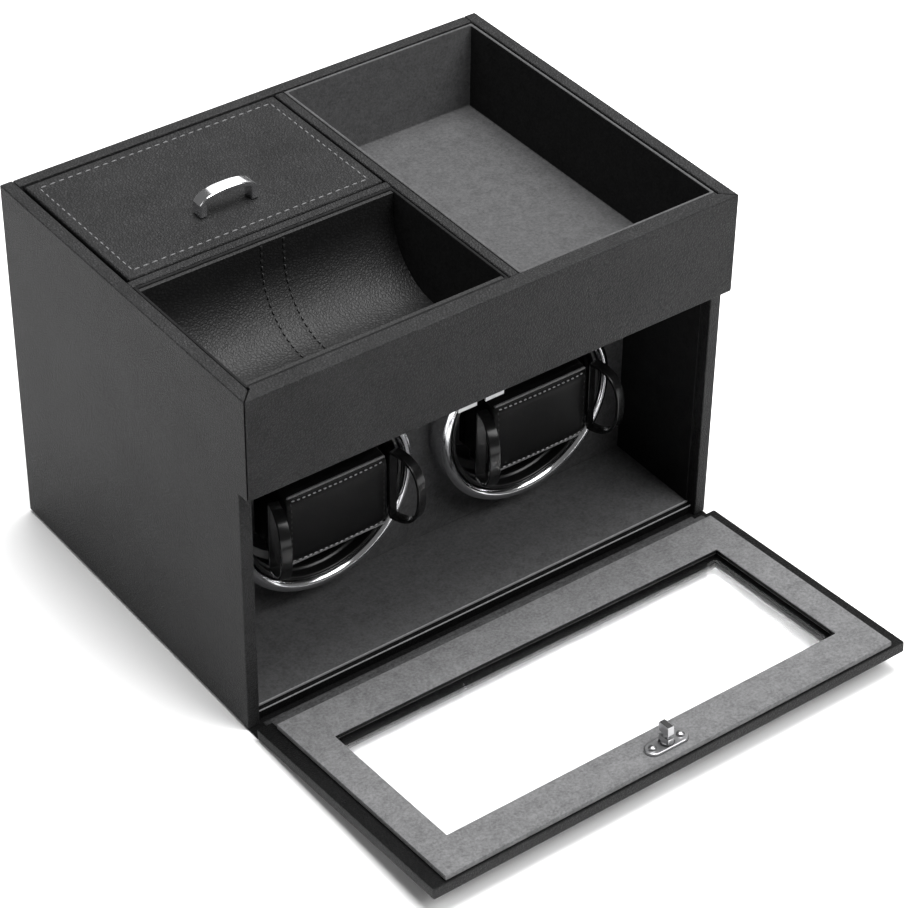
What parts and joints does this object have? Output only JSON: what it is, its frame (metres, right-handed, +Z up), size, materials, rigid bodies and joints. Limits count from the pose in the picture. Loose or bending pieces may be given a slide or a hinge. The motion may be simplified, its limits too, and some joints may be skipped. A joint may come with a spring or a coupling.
{
  "type": "watch winder box",
  "caption": "Leatherette watch winder box: lined trays, a padded cradle and a lidded bin on top, powered winder cups behind a fold-down window door with a turn latch.",
  "frame": {"origin": "middle of the box's underside, on the table, halfway between the side walls and between the fascia's front face and the back", "axes": "+X to the right seen from the front, +Y to the back, +Z up; the door folds down towards -Y and is stored open"},
  "size_m": [0.25, 0.3194, 0.1878],
  "materials": {
    "leather": "black grained leatherette, satin",
    "suede": "dark grey brushed suede, matt",
    "dark_suede": "near-black brushed suede, matt",
    "chrome": "polished",
    "steel": "satin",
    "gloss_black": "polished black",
    "matt_black": "fine satin texture",
    "rubber": "matt",
    "clear_pane": "clear polished acrylic",
    "circuit_board": "solder-mask green"
  },
  "bodies": {
    "cabinet": {"base_felt": "dark_suede", "base_panel": "leather", "side_panel_left": "leather", "side_panel_right": "leather", "front_fascia": "leather", "back_panel": "leather", "storage_deck": "matt_black", "long_divider": "leather", "cross_divider": "leather", "storage_tray_liner": "suede", "cradle_tray_liner": "suede", "cradle_insert": "leather", "bin_liner": "dark_suede", "bay_lining": "suede", "winder_panel": "suede", "rotor_axle_left": "steel", "rotor_axle_right": "steel", "motor_left": "steel", "motor_right": "steel", "drive_belt_left": "rubber", "drive_belt_right": "rubber", "mechanism_plate": "steel", "hinge_strip": "leather", "strike_bracket": "steel", "rear_cover": "matt_black", "cover_screw_left": "steel", "cover_screw_right": "steel", "power_inlet": "matt_black", "control_board": "circuit_board"},
    "lid": {"bin_lid": "leather", "lid_handle": "chrome"},
    "door": {"door_shell": "leather", "door_inner_panel": "suede", "door_window": "clear_pane", "latch_plate": "chrome", "latch_screw_left": "chrome", "latch_screw_right": "chrome"},
    "latch": {"latch_spindle": "chrome", "latch_head": "chrome", "latch_knob": "chrome"},
    "power_rocker": {"power_switch": "gloss_black"},
    "rotor_left": {"bezel_ring_left": "chrome", "rotor_cup_left": "gloss_black", "driven_pulley_left": "matt_black"},
    "motor_drive_left": {"motor_pulley_left": "matt_black"},
    "pillow_left": {"pillow_frame_left": "gloss_black", "pillow_pad_left": "leather"},
    "knob_left": {"mode_knob_left": "matt_black"},
    "hoop_left_left": {"pillow_hoop_left_left": "gloss_black"},
    "hoop_right_left": {"pillow_hoop_right_left": "gloss_black"},
    "rotor_right": {"bezel_ring_right": "chrome", "rotor_cup_right": "gloss_black", "driven_pulley_right": "matt_black"},
    "motor_drive_right": {"motor_pulley_right": "matt_black"},
    "pillow_right": {"pillow_frame_right": "gloss_black", "pillow_pad_right": "leather"},
    "knob_right": {"mode_knob_right": "matt_black"},
    "hoop_left_right": {"pillow_hoop_left_right": "gloss_black"},
    "hoop_right_right": {"pillow_hoop_right_right": "gloss_black"}
  },
  "joints": [
    {"name": "lid_lift", "type": "slide", "parent": "cabinet", "child": "lid", "axis": [0, 0, 1], "range_m": [0, 0.06]},
    {"name": "door_hinge", "type": "hinge", "parent": "cabinet", "child": "door", "pos_m": [0, -0.0935, 0.0005], "axis": [-1, 0, 0], "range_deg": [0, 85.5]},
    {"name": "latch_turn", "type": "hinge", "parent": "door", "child": "latch", "pos_m": [0, -0.21064, 0.00972], "axis": [0, 0.0785, 0.9969], "range_deg": [0, 90]},
    {"name": "rocker_tilt", "type": "hinge", "parent": "cabinet", "child": "power_rocker", "pos_m": [-0.014, 0.09, 0.042], "axis": [-1, 0, 0], "range_deg": [0, 8]},
    {"name": "rotor_spin_left", "type": "hinge", "parent": "cabinet", "child": "rotor_left", "pos_m": [-0.0545, -0.03, 0.0625], "axis": [0, 1, 0], "continuous": true},
    {"name": "motor_spin_left", "type": "hinge", "parent": "cabinet", "child": "motor_drive_left", "pos_m": [-0.022, -0.005, 0.0922], "axis": [0, 1, 0], "continuous": true},
    {"name": "pillow_pull_left", "type": "slide", "parent": "rotor_left", "child": "pillow_left", "axis": [0, -1, 0], "range_m": [0, 0.07]},
    {"name": "knob_turn_left", "type": "hinge", "parent": "cabinet", "child": "knob_left", "pos_m": [-0.036, 0.0935, 0.072], "axis": [0, 1, 0], "range_deg": [-135, 135]},
    {"name": "hoop_squeeze_left_left", "type": "hinge", "parent": "pillow_left", "child": "hoop_left_left", "pos_m": [-0.085, -0.0489, 0.0625], "axis": [0, 0, 1], "range_deg": [0, 10], "stiffness_Nm_per_rad": 0.02},
    {"name": "hoop_squeeze_right_left", "type": "hinge", "parent": "pillow_left", "child": "hoop_right_left", "pos_m": [-0.024, -0.0489, 0.0625], "axis": [0, 0, -1], "range_deg": [0, 10], "stiffness_Nm_per_rad": 0.02},
    {"name": "rotor_spin_right", "type": "hinge", "parent": "cabinet", "child": "rotor_right", "pos_m": [0.0545, -0.03, 0.0625], "axis": [0, 1, 0], "continuous": true},
    {"name": "motor_spin_right", "type": "hinge", "parent": "cabinet", "child": "motor_drive_right", "pos_m": [0.022, -0.005, 0.0922], "axis": [0, 1, 0], "continuous": true},
    {"name": "pillow_pull_right", "type": "slide", "parent": "rotor_right", "child": "pillow_right", "axis": [0, -1, 0], "range_m": [0, 0.07]},
    {"name": "knob_turn_right", "type": "hinge", "parent": "cabinet", "child": "knob_right", "pos_m": [0.036, 0.0935, 0.072], "axis": [0, 1, 0], "range_deg": [-135, 135]},
    {"name": "hoop_squeeze_left_right", "type": "hinge", "parent": "pillow_right", "child": "hoop_left_right", "pos_m": [0.024, -0.0489, 0.0625], "axis": [0, 0, 1], "range_deg": [0, 10], "stiffness_Nm_per_rad": 0.02},
    {"name": "hoop_squeeze_right_right", "type": "hinge", "parent": "pillow_right", "child": "hoop_right_right", "pos_m": [0.085, -0.0489, 0.0625], "axis": [0, 0, -1], "range_deg": [0, 10], "stiffness_Nm_per_rad": 0.02}
  ],
  "couplings": [
    {"joint": "motor_spin_left", "follows": "rotor_spin_left", "ratio": 5.246},
    {"joint": "hoop_squeeze_left_left", "follows": "hoop_squeeze_right_left", "ratio": 1},
    {"joint": "motor_spin_right", "follows": "rotor_spin_right", "ratio": 5.246},
    {"joint": "hoop_squeeze_left_right", "follows": "hoop_squeeze_right_right", "ratio": 1}
  ]
}
